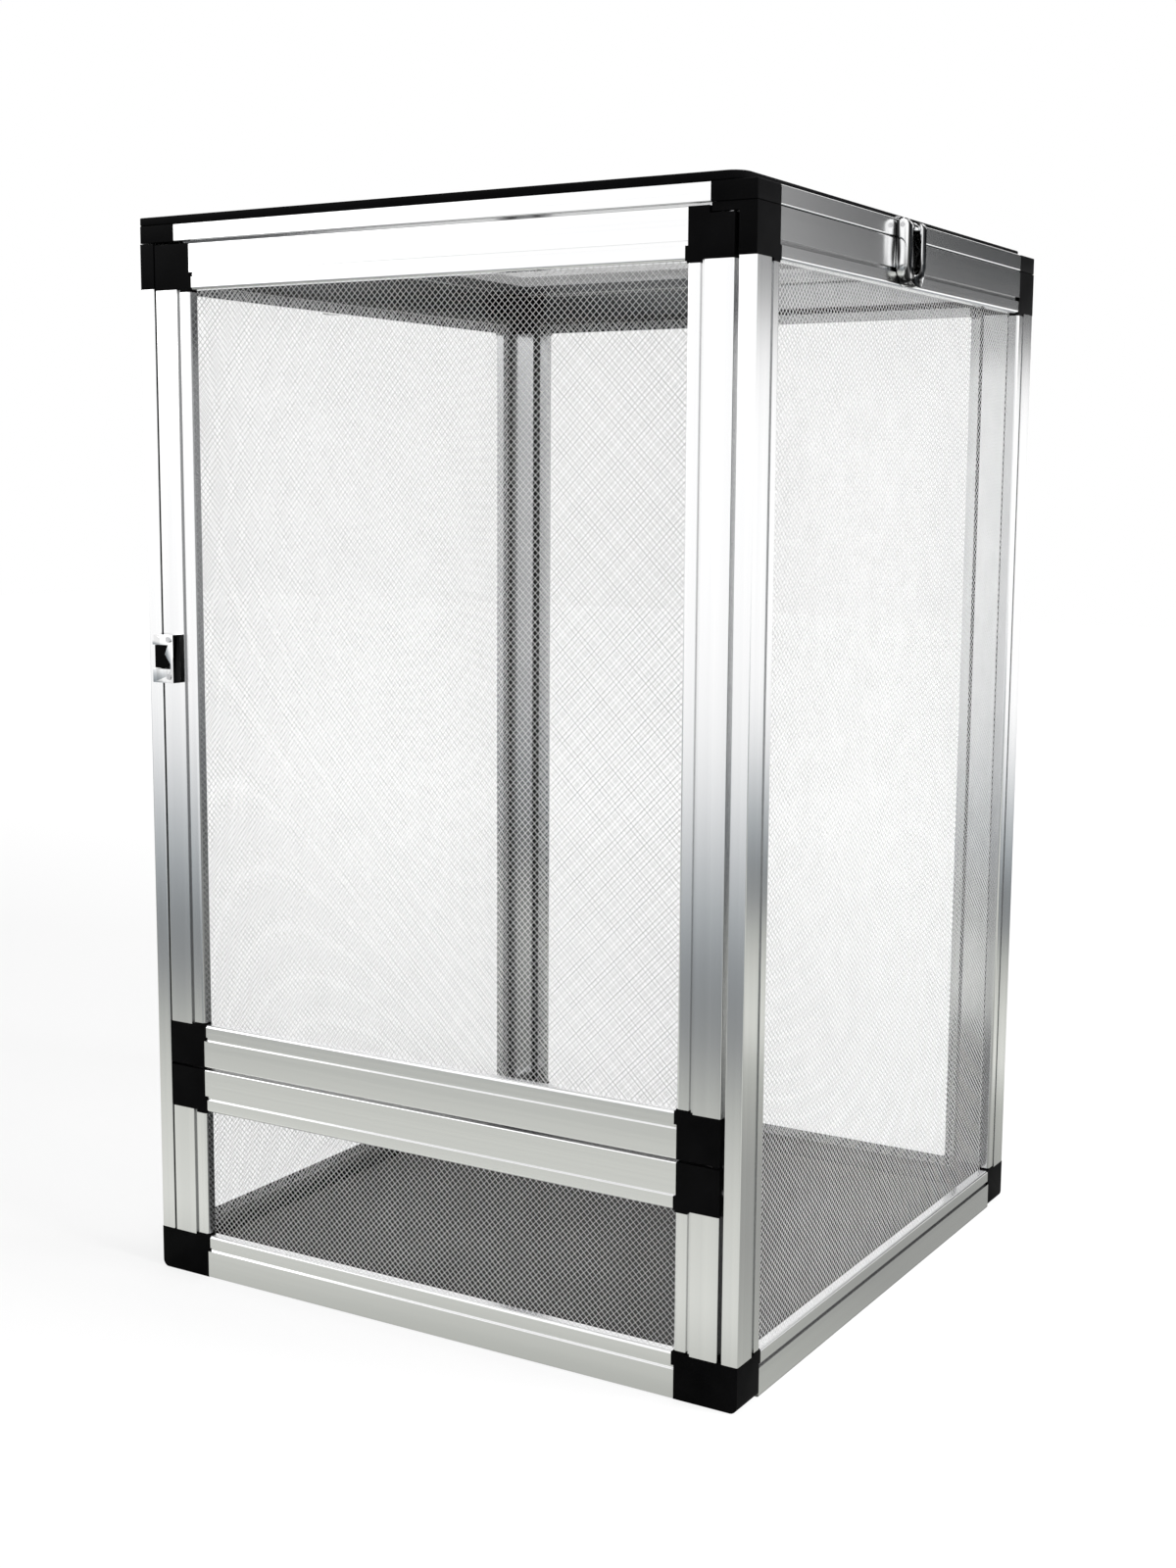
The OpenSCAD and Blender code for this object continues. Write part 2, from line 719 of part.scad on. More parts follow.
// Lid clip on the right: a strap with a raised rim, which turns on a pin at the lid's edge
module clip() {
    web_top = -knuckle_r - clip_gap - clip_t;
    opening = clip_w - 2 * clip_rim_w;
    color(chrome) translate([clip_x, clip_y, clip_pin_h]) difference() {
        intersection() {
            translate([-rib_r, 0, 0]) union() clip_slab(clip_w / 2);
            union() clip_side();
        }
        translate([clip_t - rib_r, 0, 0]) clip_slab(opening / 2);
        translate([-2 * rib_r, -opening / 2, web_top]) cube([4 * rib_r, opening, clip_l]);
        rotate([90, 0, 0]) cylinder(r = clip_pin_r + turn_fit, h = 2 * clip_w, center = true, $fn = fine);
    }
}

// Bracket that wraps over the lid's edge and carries the clip's pin
module clip_bracket() {
    flange = rim_in - bracket_gap;
    side_z = clip_pin_h - knuckle_r;
    color(chrome) difference() {
        union() {
            translate([x_side - flange, clip_y - knuckle_l / 2, lid_top])
                cube([flange + clip_t, knuckle_l, clip_t]);
            translate([x_side, clip_y - knuckle_l / 2, side_z])
                cube([clip_t, knuckle_l, lid_top + clip_t - side_z]);
            translate([x_side, clip_y - knuckle_l / 2, clip_pin_h - clip_pin_r])
                cube([clip_x - x_side, knuckle_l, knuckle_r + clip_pin_r]);
            translate([clip_x, clip_y, clip_pin_h]) rotate([90, 0, 0])
                cylinder(r = knuckle_r, h = knuckle_l, center = true, $fn = fine);
        }
        translate([clip_x, clip_y, clip_pin_h]) rotate([90, 0, 0])
            cylinder(r = clip_pin_r + turn_fit, h = 2 * cage_d, center = true, $fn = fine);
        clip_rivet_shanks(rivet_shank_r + turn_fit);
    }
}

// Shanks of the two rivets of the right clip's bracket
module clip_rivet_shanks(r) {
    for (s = [-1, 1])
        translate([clip_rivet_x, clip_y + s * clip_rivet_y, lid_top - wall])
            cylinder(r = r, h = wall + clip_t + over, $fn = fine);
}

module clip_rivet_cut() {
    color(aluminium) difference() {
        children();
        for (side = [0, 1])
            mirror([side, 0, 0]) translate([0, 0, -over]) clip_rivet_shanks(rivet_shank_r + turn_fit);
    }
}

module clip_pin() {
    color(steel) translate([clip_x, clip_y, clip_pin_h]) rotate([90, 0, 0])
        cylinder(r = clip_pin_r, h = clip_w, center = true, $fn = fine);
}

module right_clip() { clip(); }
module right_clip_bracket() { clip_bracket(); }
module right_clip_pin() { clip_pin(); }
module left_clip() { translate([0, 2 * clip_y, 0]) rotate([0, 0, 180]) clip(); }
module left_clip_bracket() { mirror([1, 0, 0]) clip_bracket(); }
module left_clip_pin() { mirror([1, 0, 0]) clip_pin(); }

module clip_rivets() {
    color(steel) for (side = [0, 1]) mirror([side, 0, 0]) {
        clip_rivet_shanks(rivet_shank_r);
        for (s = [-1, 1])
            translate([clip_rivet_x, clip_y + s * clip_rivet_y, lid_top + clip_t])
                cylinder(r = clip_rivet_r, h = rivet_head_t, $fn = fine);
    }
}

left_front_post();
left_rear_post();
left_top_rail();
left_bottom_rail();
right_front_post();
right_rear_post();
right_top_rail();
right_bottom_rail();
back_left_stile();
back_right_stile();
back_top_rail();
back_bottom_rail();
lower_left_stile();
lower_right_stile();
lower_top_rail();
lower_bottom_rail();
door_left_stile();
door_right_stile();
door_top_rail();
door_bottom_rail();
lid_left_rail();
lid_right_rail();
lid_front_rail();
lid_rear_rail();
base_corners();
post_top_fittings();
back_top_fittings();
lower_top_fittings();
door_fittings();
lid_fittings();
left_screen();
right_screen();
back_screen();
lower_screen();
door_screen();
lid_screen();
left_spline();
right_spline();
back_spline();
lower_spline();
door_spline();
lid_spline();
lid_rim();
floor_board();
panel_dowels();
door_pivot_pins();
door_pivot_washer();
latch_housing();
latch_bolt();
latch_rivets();
right_clip_bracket();
right_clip();
right_clip_pin();
left_clip_bracket();
left_clip();
left_clip_pin();
clip_rivets();
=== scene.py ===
import json
import math

import bmesh
import bpy
from mathutils import Matrix, Vector


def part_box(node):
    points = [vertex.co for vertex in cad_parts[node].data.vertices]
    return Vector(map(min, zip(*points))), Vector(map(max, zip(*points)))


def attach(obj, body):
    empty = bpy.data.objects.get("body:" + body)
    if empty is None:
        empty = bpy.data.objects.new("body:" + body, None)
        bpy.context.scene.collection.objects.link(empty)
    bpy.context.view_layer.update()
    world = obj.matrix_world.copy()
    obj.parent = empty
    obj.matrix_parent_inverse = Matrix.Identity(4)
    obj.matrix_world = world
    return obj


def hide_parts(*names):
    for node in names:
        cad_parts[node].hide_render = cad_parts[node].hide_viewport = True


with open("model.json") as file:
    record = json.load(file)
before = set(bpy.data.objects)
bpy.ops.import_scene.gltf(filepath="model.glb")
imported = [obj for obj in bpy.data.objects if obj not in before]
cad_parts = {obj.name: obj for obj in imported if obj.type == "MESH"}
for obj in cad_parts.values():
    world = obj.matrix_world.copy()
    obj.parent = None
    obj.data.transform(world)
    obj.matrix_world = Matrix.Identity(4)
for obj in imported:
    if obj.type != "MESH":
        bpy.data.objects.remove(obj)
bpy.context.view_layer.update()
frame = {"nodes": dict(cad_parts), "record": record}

MM = 0.001
BODY_OF = {
    node: body for body, nodes in frame["record"]["behaviour"]["bodies"].items() for node in nodes
}
SLOT_OF = {part["node"]: part["material_slot"] for part in frame["record"]["subparts"]}

# Camera, as the photograph was taken: place in metres, angles in degrees
CAMERA_AT = Vector((0.6258, -1.0586, 0.4561))
CAMERA_YAW = 31.036
CAMERA_DOWN = 8.112
CAMERA_ROLL = 0.382
CAMERA_LENS = 47.26
SENSOR = 36.0

# Noise lies mostly between these two, so the tones of a finish are spread over them
NOISE_RANGE = (0.3, 0.7)

# Aluminium: how fine its die lines and its broader bands are, along a bar and across it
DIE_LINES = (1.2, 420.0)
DIE_BANDS = (0.5, 90.0)
LINE_TONES = ((0.9, 0.9, 0.905), (0.96, 0.96, 0.96))
BAND_TONES = ((0.8, 0.805, 0.81), (0.97, 0.97, 0.97))
METAL_ROUGHNESS = (0.13, 0.19)

# An inner face looks towards the cage's middle. An upright one has a normal whose Z stays under this
CAGE_MIDDLE = (0.0, 0.0, 0.3)
UPRIGHT = 0.7
# Inner faces get painted shade, darker on the cage's left, by a tone for bars along X, Y and Z, and lighter
# on its right.
# They change over within this distance of its middle
LEFT_INNER_SHADE = ((0.2, 0.205, 0.21), (0.2, 0.205, 0.21), (0.45, 0.455, 0.46))
RIGHT_INNER_SHADE = (0.85, 0.855, 0.86)
CHANGE_OVER = 0.03

# Grooves and gaps up to about this wide get painted shade, because a point in them sees little open air.
# For bars along X, Y and Z: the share of it at which the painted shade is darkest, at which it ends, and how
# dark
CREVICE = 2.6 * MM
CREVICE_SHADES = ((0.05, 0.5, 0.3), (0.5, 0.8, 0.2), (0.2, 0.6, 0.15))

# The gap between the door and its hinge post gets painted shade from its left face to its right one, with a
# margin, and down to this depth behind the door's front, where less than this share of open air is seen
HINGE_GAP_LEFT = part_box("door_right_stile")[1][0]
HINGE_GAP_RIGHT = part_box("right_front_post")[0][0]
HINGE_GAP_MARGIN = 0.3 * MM
HINGE_GAP_DEPTH = 18.65 * MM
HINGE_GAP_AIR = 0.75
HINGE_GAP_SHADE = (0.01, 0.01, 0.01)

# Woven screens: wires at 45 degrees both ways, bent into the channel at all four edges
PITCH = 2.6 * MM
WIRE_R = 0.16 * MM
WIRE_SIDES = 4
HEM = 3.0 * MM
# How far each layer of wires lies from the weave's middle, as a share of a wire's radius
LAYER = 0.7
# Panels: node, the axis square to it, and which way along that axis is inwards
SCREENS = (
    ("left_screen", 0, 1), ("right_screen", 0, -1), ("back_screen", 1, -1),
    ("lower_screen", 1, 1), ("door_screen", 1, 1), ("lid_screen", 2, 1),
)

# Rounding: points closer than this are made one, edges flatter than the first angle are dropped, and
# edges sharper than the second one are rounded, each piece by its own width
WELD = 0.002 * MM
FLAT_ANGLE = 1.0
SHARP_ANGLE = 35.0
MOULDED_EDGE = 0.5 * MM
RIM_EDGE = 0.7 * MM
BOLT_EDGE = 0.4 * MM
WASHER_EDGE = 0.15 * MM
SHEET_EDGE = 0.35 * MM

# Floor: half its width, how far it lies below the feet, the share of plain white in what the camera sees
# of it, and its own tone
FLOOR_HALF = 6.0
FLOOR_DROP = 0.2 * MM
FLOOR_WHITE = 0.84
FLOOR_TONE = 0.86
# Where the floor goes over from showing the shadow to plain white, and its strengths at both ends
SHADOW_REACH = (0.5, 1.5)
SHADOW_STRENGTH = (0.92, 1.1)
# What metal sees of the table and the room beyond it: rings about a centre, squeezed along X, out to a reach
RING_CENTRE = (0.2, 0.1, 0.0)
RING_STRETCH = (0.3, 1.0, 1.0)
RING_REACH = 4.0
RINGS = (
    (0.02, (0.34, 0.345, 0.33)), (0.07, (0.46, 0.47, 0.44)), (0.1, (0.74, 0.75, 0.71)),
    (0.14, (0.66, 0.67, 0.63)), (0.185, (0.49, 0.5, 0.47)), (0.225, (0.25, 0.26, 0.265)),
    (0.275, (0.21, 0.225, 0.235)), (0.34, (0.36, 0.39, 0.41)), (0.54, (0.85, 0.86, 0.87)),
    (0.76, (1.08, 1.08, 1.08)),
)

# World: the dark ceiling begins at this slope and spreads over these parts of a direction's Y and X
CEILING_EDGE = 0.19
CEILING_SOFT = 0.02
CEILING_Y = (0.76, 0.92)
CEILING_X = (0.02, 0.1)
CEILING_TONE = (0.02, 0.022, 0.024)
WORLD_LIGHT = 0.8
WORLD_MIRRORED = 1.12

# Lamps, which all shine at the cage's middle: name, place, size in metres, power in watts, and whether
# metal mirrors them
LAMPS = (
    ("top_lamp", (0.3, -0.6, 2.2), 1.8, 10, True),
    ("left_lamp", (-1.6, -1.2, 1.2), 1.2, 5, True),
    ("right_lamp", (2.0, 0.0, 1.4), 1.2, 110, False),
)


def place_camera():
    yaw, down, roll = (math.radians(a) for a in (CAMERA_YAW, CAMERA_DOWN, CAMERA_ROLL))
    forward = Vector((-math.sin(yaw) * math.cos(down), math.cos(yaw) * math.cos(down), -math.sin(down)))
    level = Vector((math.cos(yaw), math.sin(yaw), 0))
    above = level.cross(forward)
    right = math.cos(roll) * level + math.sin(roll) * above
    up = math.cos(roll) * above - math.sin(roll) * level
    data = bpy.data.cameras.new("camera")
    data.lens = CAMERA_LENS
    data.sensor_width = SENSOR
    data.clip_start = 0.01
    camera = bpy.data.objects.new("camera", data)
    turn = Matrix((right, up, -forward)).transposed().to_4x4()
    camera.matrix_world = Matrix.Translation(CAMERA_AT) @ turn
    bpy.context.scene.collection.objects.link(camera)
    bpy.context.scene.camera = camera


def grey(level):
    return (level, level, level)


class Nodes:
    """Makes and joins the shader nodes of one tree. A value is a socket, a number, a place or a colour."""

    def __init__(self, tree):
        self.tree = tree
        self.tree.nodes.clear()

    def add(self, kind, **settings):
        node = self.tree.nodes.new(kind)
        for name, value in settings.items():
            setattr(node, name, value)
        return node

    def feed(self, target, value):
        """Joins a socket to an input, or sets the input."""
        if isinstance(value, bpy.types.NodeSocket):
            self.tree.links.new(value, target)
        elif target.type == "RGBA":
            target.default_value = (*value, 1)
        else:
            target.default_value = value

    def by_name(self, kind, output, values, **settings):
        """A node whose inputs get values by their names: returns one of its outputs."""
        node = self.add(kind, **settings)
        for name, value in values.items():
            self.feed(node.inputs[name], value)
        return node.outputs[output]

    def in_order(self, kind, output, values, **settings):
        """A node whose inputs get values one after another: returns one of its outputs."""
        node = self.add(kind, **settings)
        for target, value in zip(node.inputs, values):
            self.feed(target, value)
        return node.outputs[output]

    def maths(self, operation, *values):
        return self.in_order("ShaderNodeMath", "Value", values, operation=operation)

    def product(self, first, second, third):
        return self.maths("MULTIPLY", self.maths("MULTIPLY", first, second), third)

    def vectors(self, operation, output, *values):
        return self.in_order("ShaderNodeVectorMath", output, values, operation=operation)

    def shaders(self, factor, first, second):
        """Mixes two shaders."""
        return self.in_order("ShaderNodeMixShader", "Shader", (factor, first, second))

    def parts(self, vector):
        """X, Y and Z of a vector."""
        node = self.add("ShaderNodeSeparateXYZ")
        self.feed(node.inputs["Vector"], vector)
        return node.outputs

    def ramp(self, source, *stops):
        """A colour ramp over source. Each stop is a place from 0 to 1 and its colour."""
        node = self.add("ShaderNodeValToRGB")
        elements = node.color_ramp.elements
        elements.remove(elements[1])
        (place, colour), *others = stops
        elements[0].position, elements[0].color = place, (*colour, 1)
        for place, colour in others:
            elements.new(place).color = (*colour, 1)
        self.feed(node.inputs["Fac"], source)
        return node.outputs["Color"]

    def step(self, source, low, high):
        """Black below low, white above high."""
        return self.ramp(source, (low, grey(0)), (high, grey(1)))

    def tones(self, noise, dark, light):
        """A finish between two colours that follows noise."""
        low, high = NOISE_RANGE
        return self.ramp(noise, (low, dark), (high, light))

    def span(self, source, low, high, start=0.0, end=1.0):
        """Maps source from start..end to low..high."""
        values = {"Value": source, "From Min": start, "From Max": end, "To Min": low, "To Max": high}
        return self.by_name("ShaderNodeMapRange", "Result", values)

    def noise(self, vector, scale, detail=3.0, roughness=0.5):
        values = {"Vector": vector, "Scale": scale, "Detail": detail, "Roughness": roughness}
        return self.by_name("ShaderNodeTexNoise", "Fac", values)

    def stretched(self, vector, scale):
        return self.by_name("ShaderNodeMapping", "Vector", {"Vector": vector, "Scale": scale})

    def mix(self, factor, first, second, blend="MIX"):
        """Mixes two colours."""
        values = {"Factor": factor, "A": first, "B": second}
        return self.by_name("ShaderNodeMix", "Result", values, data_type="RGBA", blend_type=blend)

    def bump(self, height, strength, distance):
        values = {"Height": height, "Strength": strength, "Distance": distance}
        return self.by_name("ShaderNodeBump", "Normal", values)

    def glow(self, colour, strength):
        return self.by_name("ShaderNodeEmission", "Emission", {"Color": colour, "Strength": strength})

    def sky(self, colour, strength):
        return self.by_name("ShaderNodeBackground", "Background", {"Color": colour, "Strength": strength})


def new_material(name, metallic, specular=0.5):
    """A material with one Principled shader: returns it, its nodes, the shader and object coordinates."""
    material = bpy.data.materials.new(name)
    material.use_nodes = True
    nodes = Nodes(material.node_tree)
    out = nodes.add("ShaderNodeOutputMaterial")
    shader = nodes.add("ShaderNodeBsdfPrincipled")
    shader.inputs["Metallic"].default_value = metallic
    shader.inputs["Specular IOR Level"].default_value = specular
    nodes.feed(out.inputs["Surface"], shader.outputs["BSDF"])
    place = nodes.add("ShaderNodeTexCoord").outputs["Object"]
    return material, nodes, shader, place


def dress(nodes, shader, colour, roughness, normal=None):
    """Feeds a shader its colour, its roughness and, where it has one, its bump."""
    nodes.feed(shader.inputs["Base Color"], colour)
    nodes.feed(shader.inputs["Roughness"], roughness)
    if normal is not None:
        nodes.feed(shader.inputs["Normal"], normal)


def inward(nodes):
    """1 where an upright face looks at the cage's inside, 0 where it looks out, up or down."""
    geometry = nodes.add("ShaderNodeNewGeometry").outputs
    outwards = nodes.vectors("SUBTRACT", "Vector", geometry["Position"], CAGE_MIDDLE)
    facing = nodes.vectors("DOT_PRODUCT", "Value", outwards, geometry["Normal"])
    level = nodes.maths("COMPARE", nodes.parts(geometry["Normal"])["Z"], 0.0, UPRIGHT)
    return nodes.maths("MULTIPLY", nodes.maths("LESS_THAN", facing, 0.0), level)


def crevices(nodes, reach):
    """0 deep in a groove or a gap, 1 in the open."""
    hidden = nodes.add("ShaderNodeAmbientOcclusion", samples=8)
    hidden.inputs["Distance"].default_value = reach
    return hidden.outputs["AO"]


def hinge_shade(nodes, open_air):
    """Mask for painted shade: 1 on the faces that stand in the door's hinge gap while it is closed, 0
    elsewhere.
    """
    place = nodes.parts(nodes.add("ShaderNodeNewGeometry").outputs["Position"])
    middle = (HINGE_GAP_LEFT + HINGE_GAP_RIGHT) / 2
    half = (HINGE_GAP_RIGHT - HINGE_GAP_LEFT) / 2 + HINGE_GAP_MARGIN
    across = nodes.maths("COMPARE", place["X"], middle, half)
    door_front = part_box("door_right_stile")[0][1]
    front = nodes.maths("LESS_THAN", place["Y"], door_front + HINGE_GAP_DEPTH)
    hidden = nodes.maths("LESS_THAN", open_air, HINGE_GAP_AIR)
    return nodes.product(across, front, hidden)


def stretched_along(nodes, place, axis, fineness):
    """Coordinates for marks that run along one axis."""
    along, across = fineness
    return nodes.stretched(place, [along if i == axis else across for i in range(3)])


def aluminium(axis):
    """Satin extruded aluminium with fine die lines along the given axis, with painted shade on its inner
    faces, in its grooves and in the hinge gap.
    """
    material, nodes, shader, place = new_material("aluminium_" + "xyz"[axis], 1.0)
    lines = nodes.noise(stretched_along(nodes, place, axis, DIE_LINES), 1.0, 4.0, 0.6)
    bands = nodes.noise(stretched_along(nodes, place, axis, DIE_BANDS), 1.0, 2.0)
    plain = nodes.mix(0.5, nodes.tones(bands, *BAND_TONES), nodes.tones(lines, *LINE_TONES))
    open_air = crevices(nodes, CREVICE)
    darkest, unshaded_share, shade = CREVICE_SHADES[axis]
    # Painted shade in grooves and gaps, darkest where a point sees least open air
    crevice_shade = nodes.ramp(open_air, (darkest, grey(shade)), (unshaded_share, grey(1)))
    crevice_shaded = nodes.mix(1.0, plain, crevice_shade, "MULTIPLY")
    right = nodes.span(nodes.parts(place)["X"], 0.0, 1.0, -CHANGE_OVER, CHANGE_OVER)
    # Painted shade on inner faces: darker on the cage's left, lighter on its right
    inner_shade = nodes.mix(right, LEFT_INNER_SHADE[axis], RIGHT_INNER_SHADE)
    inner_shaded = nodes.mix(inward(nodes), crevice_shaded, inner_shade, "MULTIPLY")
    # Painted shade over the faces in the hinge gap
    colour = nodes.mix(hinge_shade(nodes, open_air), inner_shaded, HINGE_GAP_SHADE)
    roughness = nodes.span(nodes.noise(place, 6.0, 2.0), *METAL_ROUGHNESS)
    dress(nodes, shader, colour, roughness, nodes.bump(lines, 0.2, 0.06 * MM))
    return material


def black_plastic():
    """Moulded plastic with a fine grain."""
    material, nodes, shader, place = new_material("black_plastic", 0.0, 0.02)
    grain = nodes.noise(place, 1500.0, 2.0)
    cloud = nodes.noise(place, 40.0)
    colour = nodes.tones(cloud, (0.001, 0.001, 0.0011), (0.0025, 0.0025, 0.0027))
    dress(nodes, shader, colour, nodes.span(cloud, 0.38, 0.52), nodes.bump(grain, 0.25, 0.08 * MM))
    return material


def wire(name, low, high):
    """Coated wire, uneven in tone from low to high."""
    material, nodes, shader, place = new_material(name, 0.3)
    cloud = nodes.noise(place, 60.0)
    dress(nodes, shader, nodes.tones(cloud, grey(low), grey(high)), nodes.span(cloud, 0.3, 0.45))
    return material


def rubber():
    """Dull rubber with a fine grain."""
    material, nodes, shader, place = new_material("spline_rubber", 0.0, 0.25)
    grain = nodes.noise(place, 700.0)
    colour = nodes.tones(grain, grey(0.012), grey(0.03))
    dress(nodes, shader, colour, nodes.span(grain, 0.6, 0.8), nodes.bump(grain, 0.3, 0.1 * MM))
    return material


def chrome(name, darkest, shaded_side=False):
    """Bright plating with painted reflections as dark and bright upright streaks, and painted shade as a
    black face on its right when asked for.
    """
    material, nodes, shader, place = new_material(name, 1.0)
    reflection_streaks = nodes.noise(nodes.stretched(place, (260.0, 260.0, 22.0)), 1.0, 1.0)
    # Painted reflections: dark and bright upright streaks in the plating's colour
    colour = nodes.ramp(reflection_streaks, (0.44, grey(darkest)), (0.54, (0.93, 0.935, 0.94)))
    if shaded_side:
        facing = nodes.parts(nodes.add("ShaderNodeTexCoord").outputs["Normal"])
        # Painted shade: a near-black face on the side that looks along +X
        colour = nodes.mix(nodes.step(facing["X"], 0.8, 0.9), colour, grey(0.004))
    dress(nodes, shader, colour, nodes.span(reflection_streaks, 0.1, 0.06))
    return material


def steel():
    """Drawn steel with marks along the pins."""
    material, nodes, shader, place = new_material("pin_steel", 1.0)
    marks = nodes.noise(nodes.stretched(place, (700.0, 700.0, 60.0)), 1.0)
    colour = nodes.tones(marks, (0.5, 0.5, 0.51), (0.66, 0.66, 0.67))
    dress(nodes, shader, colour, nodes.span(marks, 0.2, 0.36))
    return material


def board():
    """A dark board with a grain and soft clouds."""
    material, nodes, shader, place = new_material("floor_board_grey", 0.0, 0.15)
    grain = nodes.noise(place, 520.0, 4.0, 0.6)
    clouds = nodes.tones(nodes.noise(place, 9.0), (0.012, 0.012, 0.012), (0.024, 0.024, 0.023))
    colour = nodes.mix(0.4, clouds, nodes.tones(grain, (0.008, 0.008, 0.008), (0.035, 0.035, 0.034)))
    dress(nodes, shader, colour, nodes.span(grain, 0.5, 0.7), nodes.bump(grain, 0.3, 0.1 * MM))
    return material


def finish_node(node, material):
    """Gives a CAD node its material."""
    mesh = frame["nodes"][node].data
    mesh.materials.clear()
    mesh.materials.append(material)


def new_object(name, made):
    """An object with smooth faces, from a mesh under construction."""
    mesh = bpy.data.meshes.new(name)
    made.to_mesh(mesh)
    made.free()
    for polygon in mesh.polygons:
        polygon.use_smooth = True
    piece = bpy.data.objects.new(name, mesh)
    bpy.context.scene.collection.objects.link(piece)
    return piece


def adopt(piece, node, material):
    """Lets a piece stand for a CAD node: same body, and the given material."""
    piece.data.materials.clear()
    piece.data.materials.append(material)
    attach(piece, BODY_OF[node])
    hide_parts(node)


def softened(node, material, width, segments=3):
    """A copy of a CAD node with every hard edge rounded, which stands for the node."""
    made = bmesh.new()
    made.from_mesh(frame["nodes"][node].data)
    bmesh.ops.remove_doubles(made, verts=made.verts, dist=WELD)
    bmesh.ops.dissolve_limit(
        made, angle_limit=math.radians(FLAT_ANGLE), verts=made.verts, edges=made.edges, delimit={"NORMAL"}
    )
    piece = new_object(node + "_rounded", made)
    bevel = piece.modifiers.new("edges", "BEVEL")
    bevel.width = width
    bevel.segments = segments
    bevel.limit_method = "ANGLE"
    bevel.angle_limit = math.radians(SHARP_ANGLE)
    bevel.harden_normals = True
    adopt(piece, node, material)


def tube(made, points, radius, side):
    """A thin tube along points, which lie in one plane square to side."""
    rings = []
    for i, point in enumerate(points):
        before = (point - points[i - 1]).normalized() if i else (points[1] - point).normalized()
        after = (points[i + 1] - point).normalized() if i + 1 < len(points) else before
        along = (before + after).normalized()
        out = along.cross(side)
        ring = []
        for k in range(WIRE_SIDES):
            angle = 2 * math.pi * (k + 0.5) / WIRE_SIDES
            ring.append(made.verts.new(point + radius * (math.cos(angle) * out + math.sin(angle) * side)))
        rings.append(ring)
    for a, b in zip(rings, rings[1:]):
        for k in range(WIRE_SIDES):
            n = (k + 1) % WIRE_SIDES
            made.faces.new((a[k], a[n], b[n], b[k]))
    made.faces.new(rings[0][::-1])
    made.faces.new(rings[-1])


def slanted_runs(width, height, slope):
    """Ends of the wires of one slope across a rectangle, as pairs of (u, v) from its middle."""
    step = PITCH * math.sqrt(2)
    count = int((width + height) / 2 / step)
    for i in range(-count, count + 1):
        shift = i * step
        first = max(-width / 2, -height / 2 - shift)
        last = min(width / 2, height / 2 - shift)
        if last - first > PITCH:
            yield (first, slope * (first + shift)), (last, slope * (last + shift))


def woven_screen(node, depth_axis, inward_way, material):
    """Crossing wires in place of a screen's sheet, tucked into the channel at all four edges."""
    low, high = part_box(node)
    u, v = (i for i in range(3) if i != depth_axis)
    face = (high if inward_way > 0 else low)[depth_axis] - inward_way * 2 * WIRE_R
    made = bmesh.new()
    for slope in (1, -1):
        layer = face + slope * WIRE_R * LAYER
        side = Vector((0, 0, 0))
        side[u], side[v] = math.sqrt(0.5), -slope * math.sqrt(0.5)
        for ends in slanted_runs(high[u] - low[u] - 2 * WIRE_R, high[v] - low[v] - 2 * WIRE_R, slope):
            points = []
            for end, depth in ((0, 1), (0, 0), (1, 0), (1, 1)):
                point = Vector((0, 0, 0))
                point[u] = (low[u] + high[u]) / 2 + ends[end][0]
                point[v] = (low[v] + high[v]) / 2 + ends[end][1]
                point[depth_axis] = layer - inward_way * depth * (HEM - 2 * WIRE_R)
                points.append(point)
            tube(made, points, WIRE_R, side)
    bmesh.ops.recalc_face_normals(made, faces=made.faces)
    adopt(new_object(node + "_wires", made), node, material)


def floor_material():
    """White to the camera with the object's shadow; metal sees a pale table and a darker room beyond it."""
    material = bpy.data.materials.new("studio_floor")
    material.use_nodes = True
    nodes = Nodes(material.node_tree)
    out = nodes.add("ShaderNodeOutputMaterial")
    rays = nodes.add("ShaderNodeLightPath").outputs
    place = nodes.add("ShaderNodeTexCoord").outputs["Object"]
    centred = nodes.vectors("SUBTRACT", "Vector", place, RING_CENTRE)
    reach = nodes.vectors("LENGTH", "Value", nodes.stretched(centred, RING_STRETCH))
    matt = nodes.by_name("ShaderNodeBsdfDiffuse", "BSDF", {"Color": grey(FLOOR_TONE)})
    white = nodes.glow(grey(1), nodes.span(reach, *SHADOW_STRENGTH, *SHADOW_REACH))
    mirrored = nodes.glow(nodes.ramp(nodes.maths("DIVIDE", reach, RING_REACH), *RINGS), 1.0)
    seen = nodes.shaders(FLOOR_WHITE, matt, white)
    lit = nodes.shaders(rays["Is Camera Ray"], matt, seen)
    nodes.feed(out.inputs["Surface"], nodes.shaders(rays["Is Glossy Ray"], lit, mirrored))
    return material


def studio_floor():
    mesh = bpy.data.meshes.new("studio_floor")
    corners = [(-1, -1), (1, -1), (1, 1), (-1, 1)]
    mesh.from_pydata([(x * FLOOR_HALF, y * FLOOR_HALF, -FLOOR_DROP) for x, y in corners], [], [(0, 1, 2, 3)])
    floor = bpy.data.objects.new("studio_floor", mesh)
    bpy.context.scene.collection.objects.link(floor)
    floor.data.materials.append(floor_material())


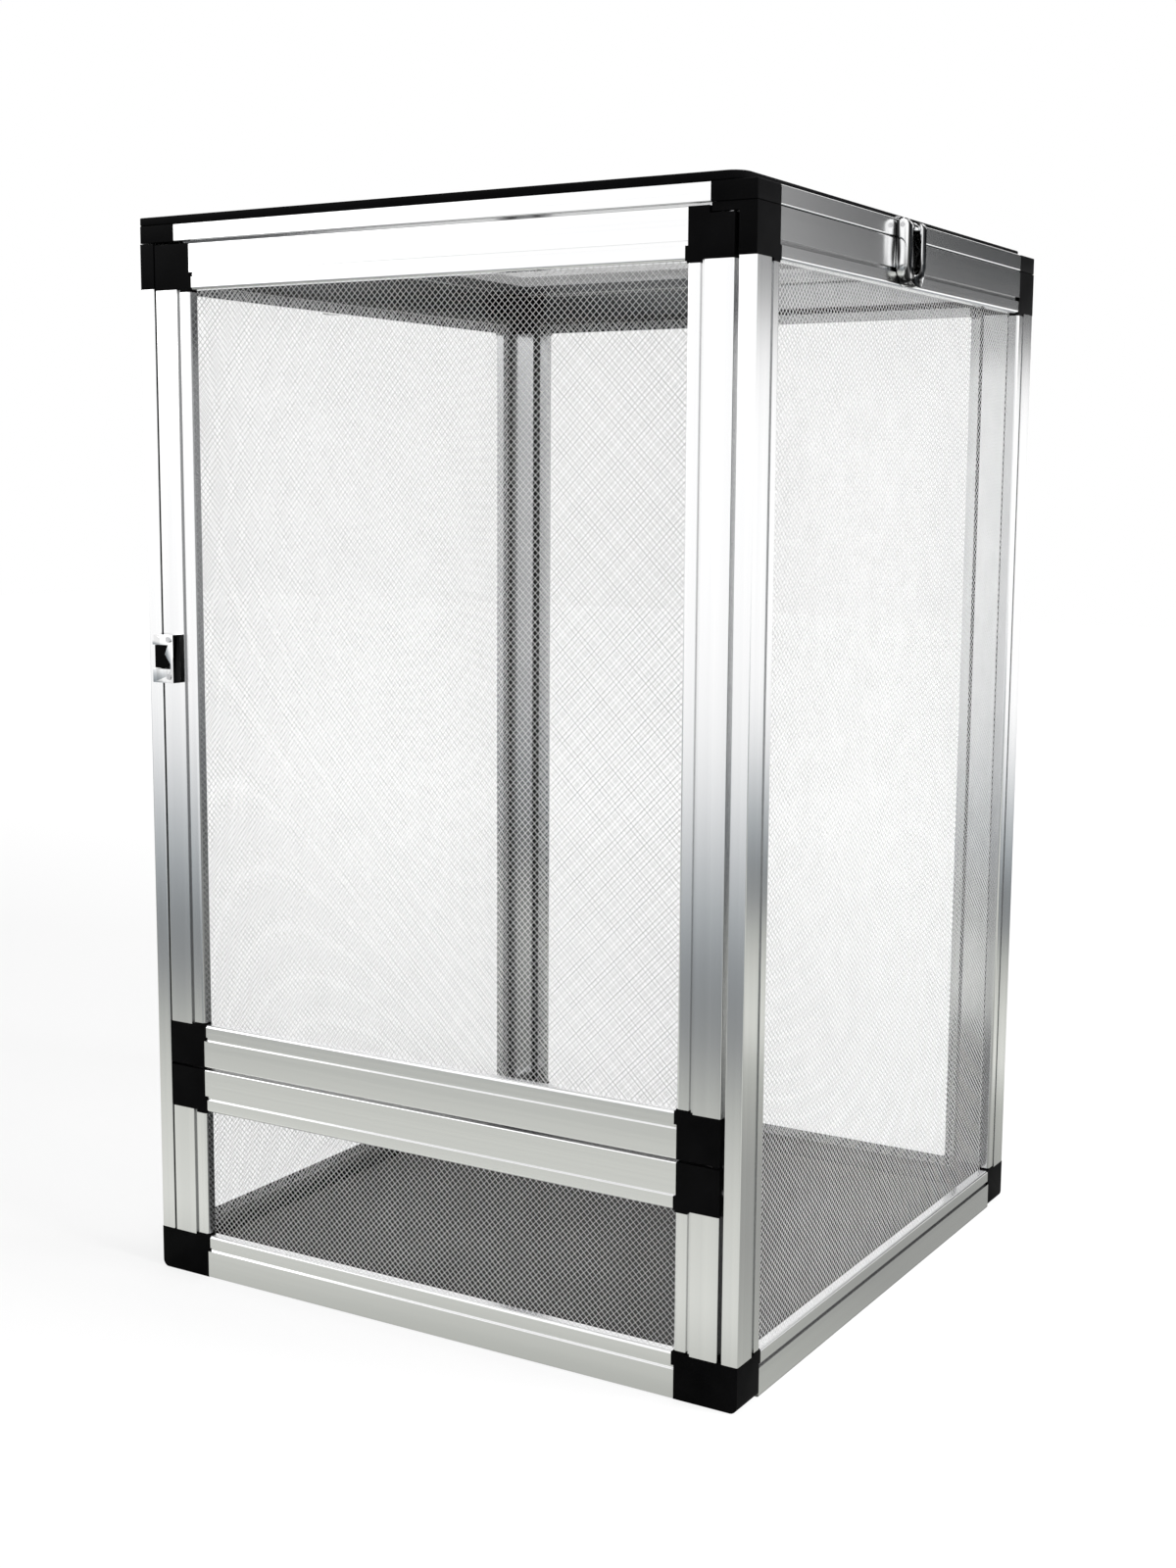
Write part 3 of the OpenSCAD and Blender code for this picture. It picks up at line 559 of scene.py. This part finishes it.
def studio_world():
    """White around, with a dark ceiling edge far off on the right that only reflections see."""
    world = bpy.data.worlds.new("studio")
    bpy.context.scene.world = world
    world.use_nodes = True
    nodes = Nodes(world.node_tree)
    out = nodes.add("ShaderNodeOutputWorld")
    rays = nodes.add("ShaderNodeLightPath").outputs
    way = nodes.parts(nodes.add("ShaderNodeTexCoord").outputs["Generated"])
    slope = nodes.maths("DIVIDE", way["Z"], way["X"])
    above = nodes.step(slope, CEILING_EDGE - CEILING_SOFT, CEILING_EDGE + CEILING_SOFT)
    ceiling = nodes.product(above, nodes.step(way["Y"], *CEILING_Y), nodes.step(way["X"], *CEILING_X))
    around = nodes.sky(grey(1), WORLD_LIGHT)
    mirrored = nodes.sky(nodes.mix(ceiling, grey(1), CEILING_TONE), WORLD_MIRRORED)
    lit = nodes.shaders(rays["Is Glossy Ray"], around, mirrored)
    nodes.feed(out.inputs["Surface"], nodes.shaders(rays["Is Camera Ray"], lit, nodes.sky(grey(1), 1.0)))


def soft_lamp(name, at, size, power, mirrored):
    data = bpy.data.lights.new(name, "AREA")
    data.size = size
    data.energy = power
    lamp = bpy.data.objects.new(name, data)
    lamp.location = at
    lamp.rotation_euler = (Vector(CAGE_MIDDLE) - Vector(at)).to_track_quat("-Z", "Y").to_euler()
    lamp.visible_glossy = mirrored
    bpy.context.scene.collection.objects.link(lamp)


def longest_axis(node):
    low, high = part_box(node)
    sizes = high - low
    return max(range(3), key=lambda i: sizes[i])


place_camera()

# Finishes
METAL = [aluminium(axis) for axis in range(3)]
BLACK = black_plastic()
WIRE = wire("screen_wire", 0.56, 0.66)
# The lid's wires are a darker copy of the screen wire: painted shade, for the lid seen from below
SHADED_LID_WIRE = wire("shaded_lid_screen_wire", 0.2, 0.28)
RUBBER = rubber()
# Painted reflections in the plating: near black on the clips, pale on the latch housing, which also gets a
# painted shaded side
CHROME = chrome("bright_plating", 0.03)
PALE_CHROME = chrome("pale_plating", 0.75, True)
STEEL = steel()
BOARD = board()

# Bars, cords and pins keep their CAD shape
for name in frame["nodes"]:
    slot = SLOT_OF[name]
    if slot == "frame_aluminium":
        finish_node(name, METAL[longest_axis(name)])
    elif slot == "spline_rubber":
        finish_node(name, RUBBER)
    elif slot == "pin_steel":
        finish_node(name, STEEL)

for name, depth_axis, inner_side in SCREENS:
    woven_screen(name, depth_axis, inner_side, SHADED_LID_WIRE if name == "lid_screen" else WIRE)

# Moulded and pressed pieces get rounded edges
FITTINGS = (
    "base_corners", "post_top_fittings", "back_top_fittings", "lower_top_fittings",
    "door_fittings", "lid_fittings",
)
for name in FITTINGS:
    softened(name, BLACK, MOULDED_EDGE)
softened("lid_rim", BLACK, RIM_EDGE)
softened("latch_bolt", BLACK, BOLT_EDGE)
softened("door_pivot_washer", BLACK, WASHER_EDGE, 2)
softened("floor_board", BOARD, MOULDED_EDGE)
softened("latch_housing", PALE_CHROME, SHEET_EDGE)
for name in ("right_clip", "left_clip", "right_clip_bracket", "left_clip_bracket"):
    softened(name, CHROME, SHEET_EDGE)

studio_floor()
studio_world()
for lamp in LAMPS:
    soft_lamp(*lamp)

view = bpy.context.scene.view_settings
view.view_transform = "Standard"
